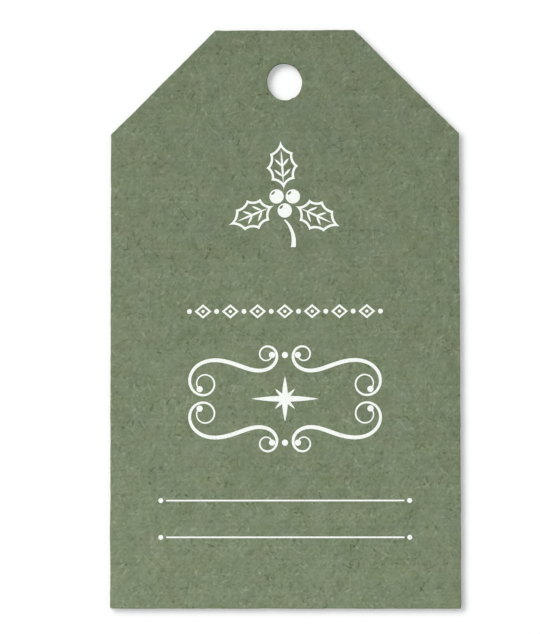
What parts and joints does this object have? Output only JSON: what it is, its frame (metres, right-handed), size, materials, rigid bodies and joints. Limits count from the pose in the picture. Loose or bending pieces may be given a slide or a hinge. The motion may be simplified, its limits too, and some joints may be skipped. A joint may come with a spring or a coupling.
{
  "type": "gift tag",
  "caption": "Flat paper gift tag with clipped top corners, a punched string hole and a white printed ornament, tied to a present to say who it is for.",
  "frame": {"origin": "centre of the tag's back face, which lies on the surface under it", "axes": "+X across the tag to the right as it is read, +Y up the tag towards the string hole, +Z out of the printed face"},
  "size_m": [0.0536, 0.0888, 0.0008],
  "materials": {
    "green_paper": "matte recycled kraft, fine fibres",
    "green_core": "matte, open fibres at the cut",
    "paste": "dry paste, matte",
    "white_ink": "matte opaque ink that follows the paper's grain"
  },
  "bodies": {
    "root": {"back_sheet": "green_paper", "back_paste_film": "paste", "core_sheet": "green_core", "face_paste_film": "paste", "face_sheet": "green_paper", "sprig_top_leaf": "white_ink", "sprig_left_leaf": "white_ink", "sprig_right_leaf": "white_ink", "sprig_berries": "white_ink", "sprig_stem": "white_ink", "divider_lozenges": "white_ink", "divider_beads": "white_ink", "upper_left_scroll": "white_ink", "upper_right_scroll": "white_ink", "lower_left_scroll": "white_ink", "lower_right_scroll": "white_ink", "scroll_pearls": "white_ink", "scroll_star": "white_ink", "upper_writing_line": "white_ink", "lower_writing_line": "white_ink"}
  },
  "joints": []
}
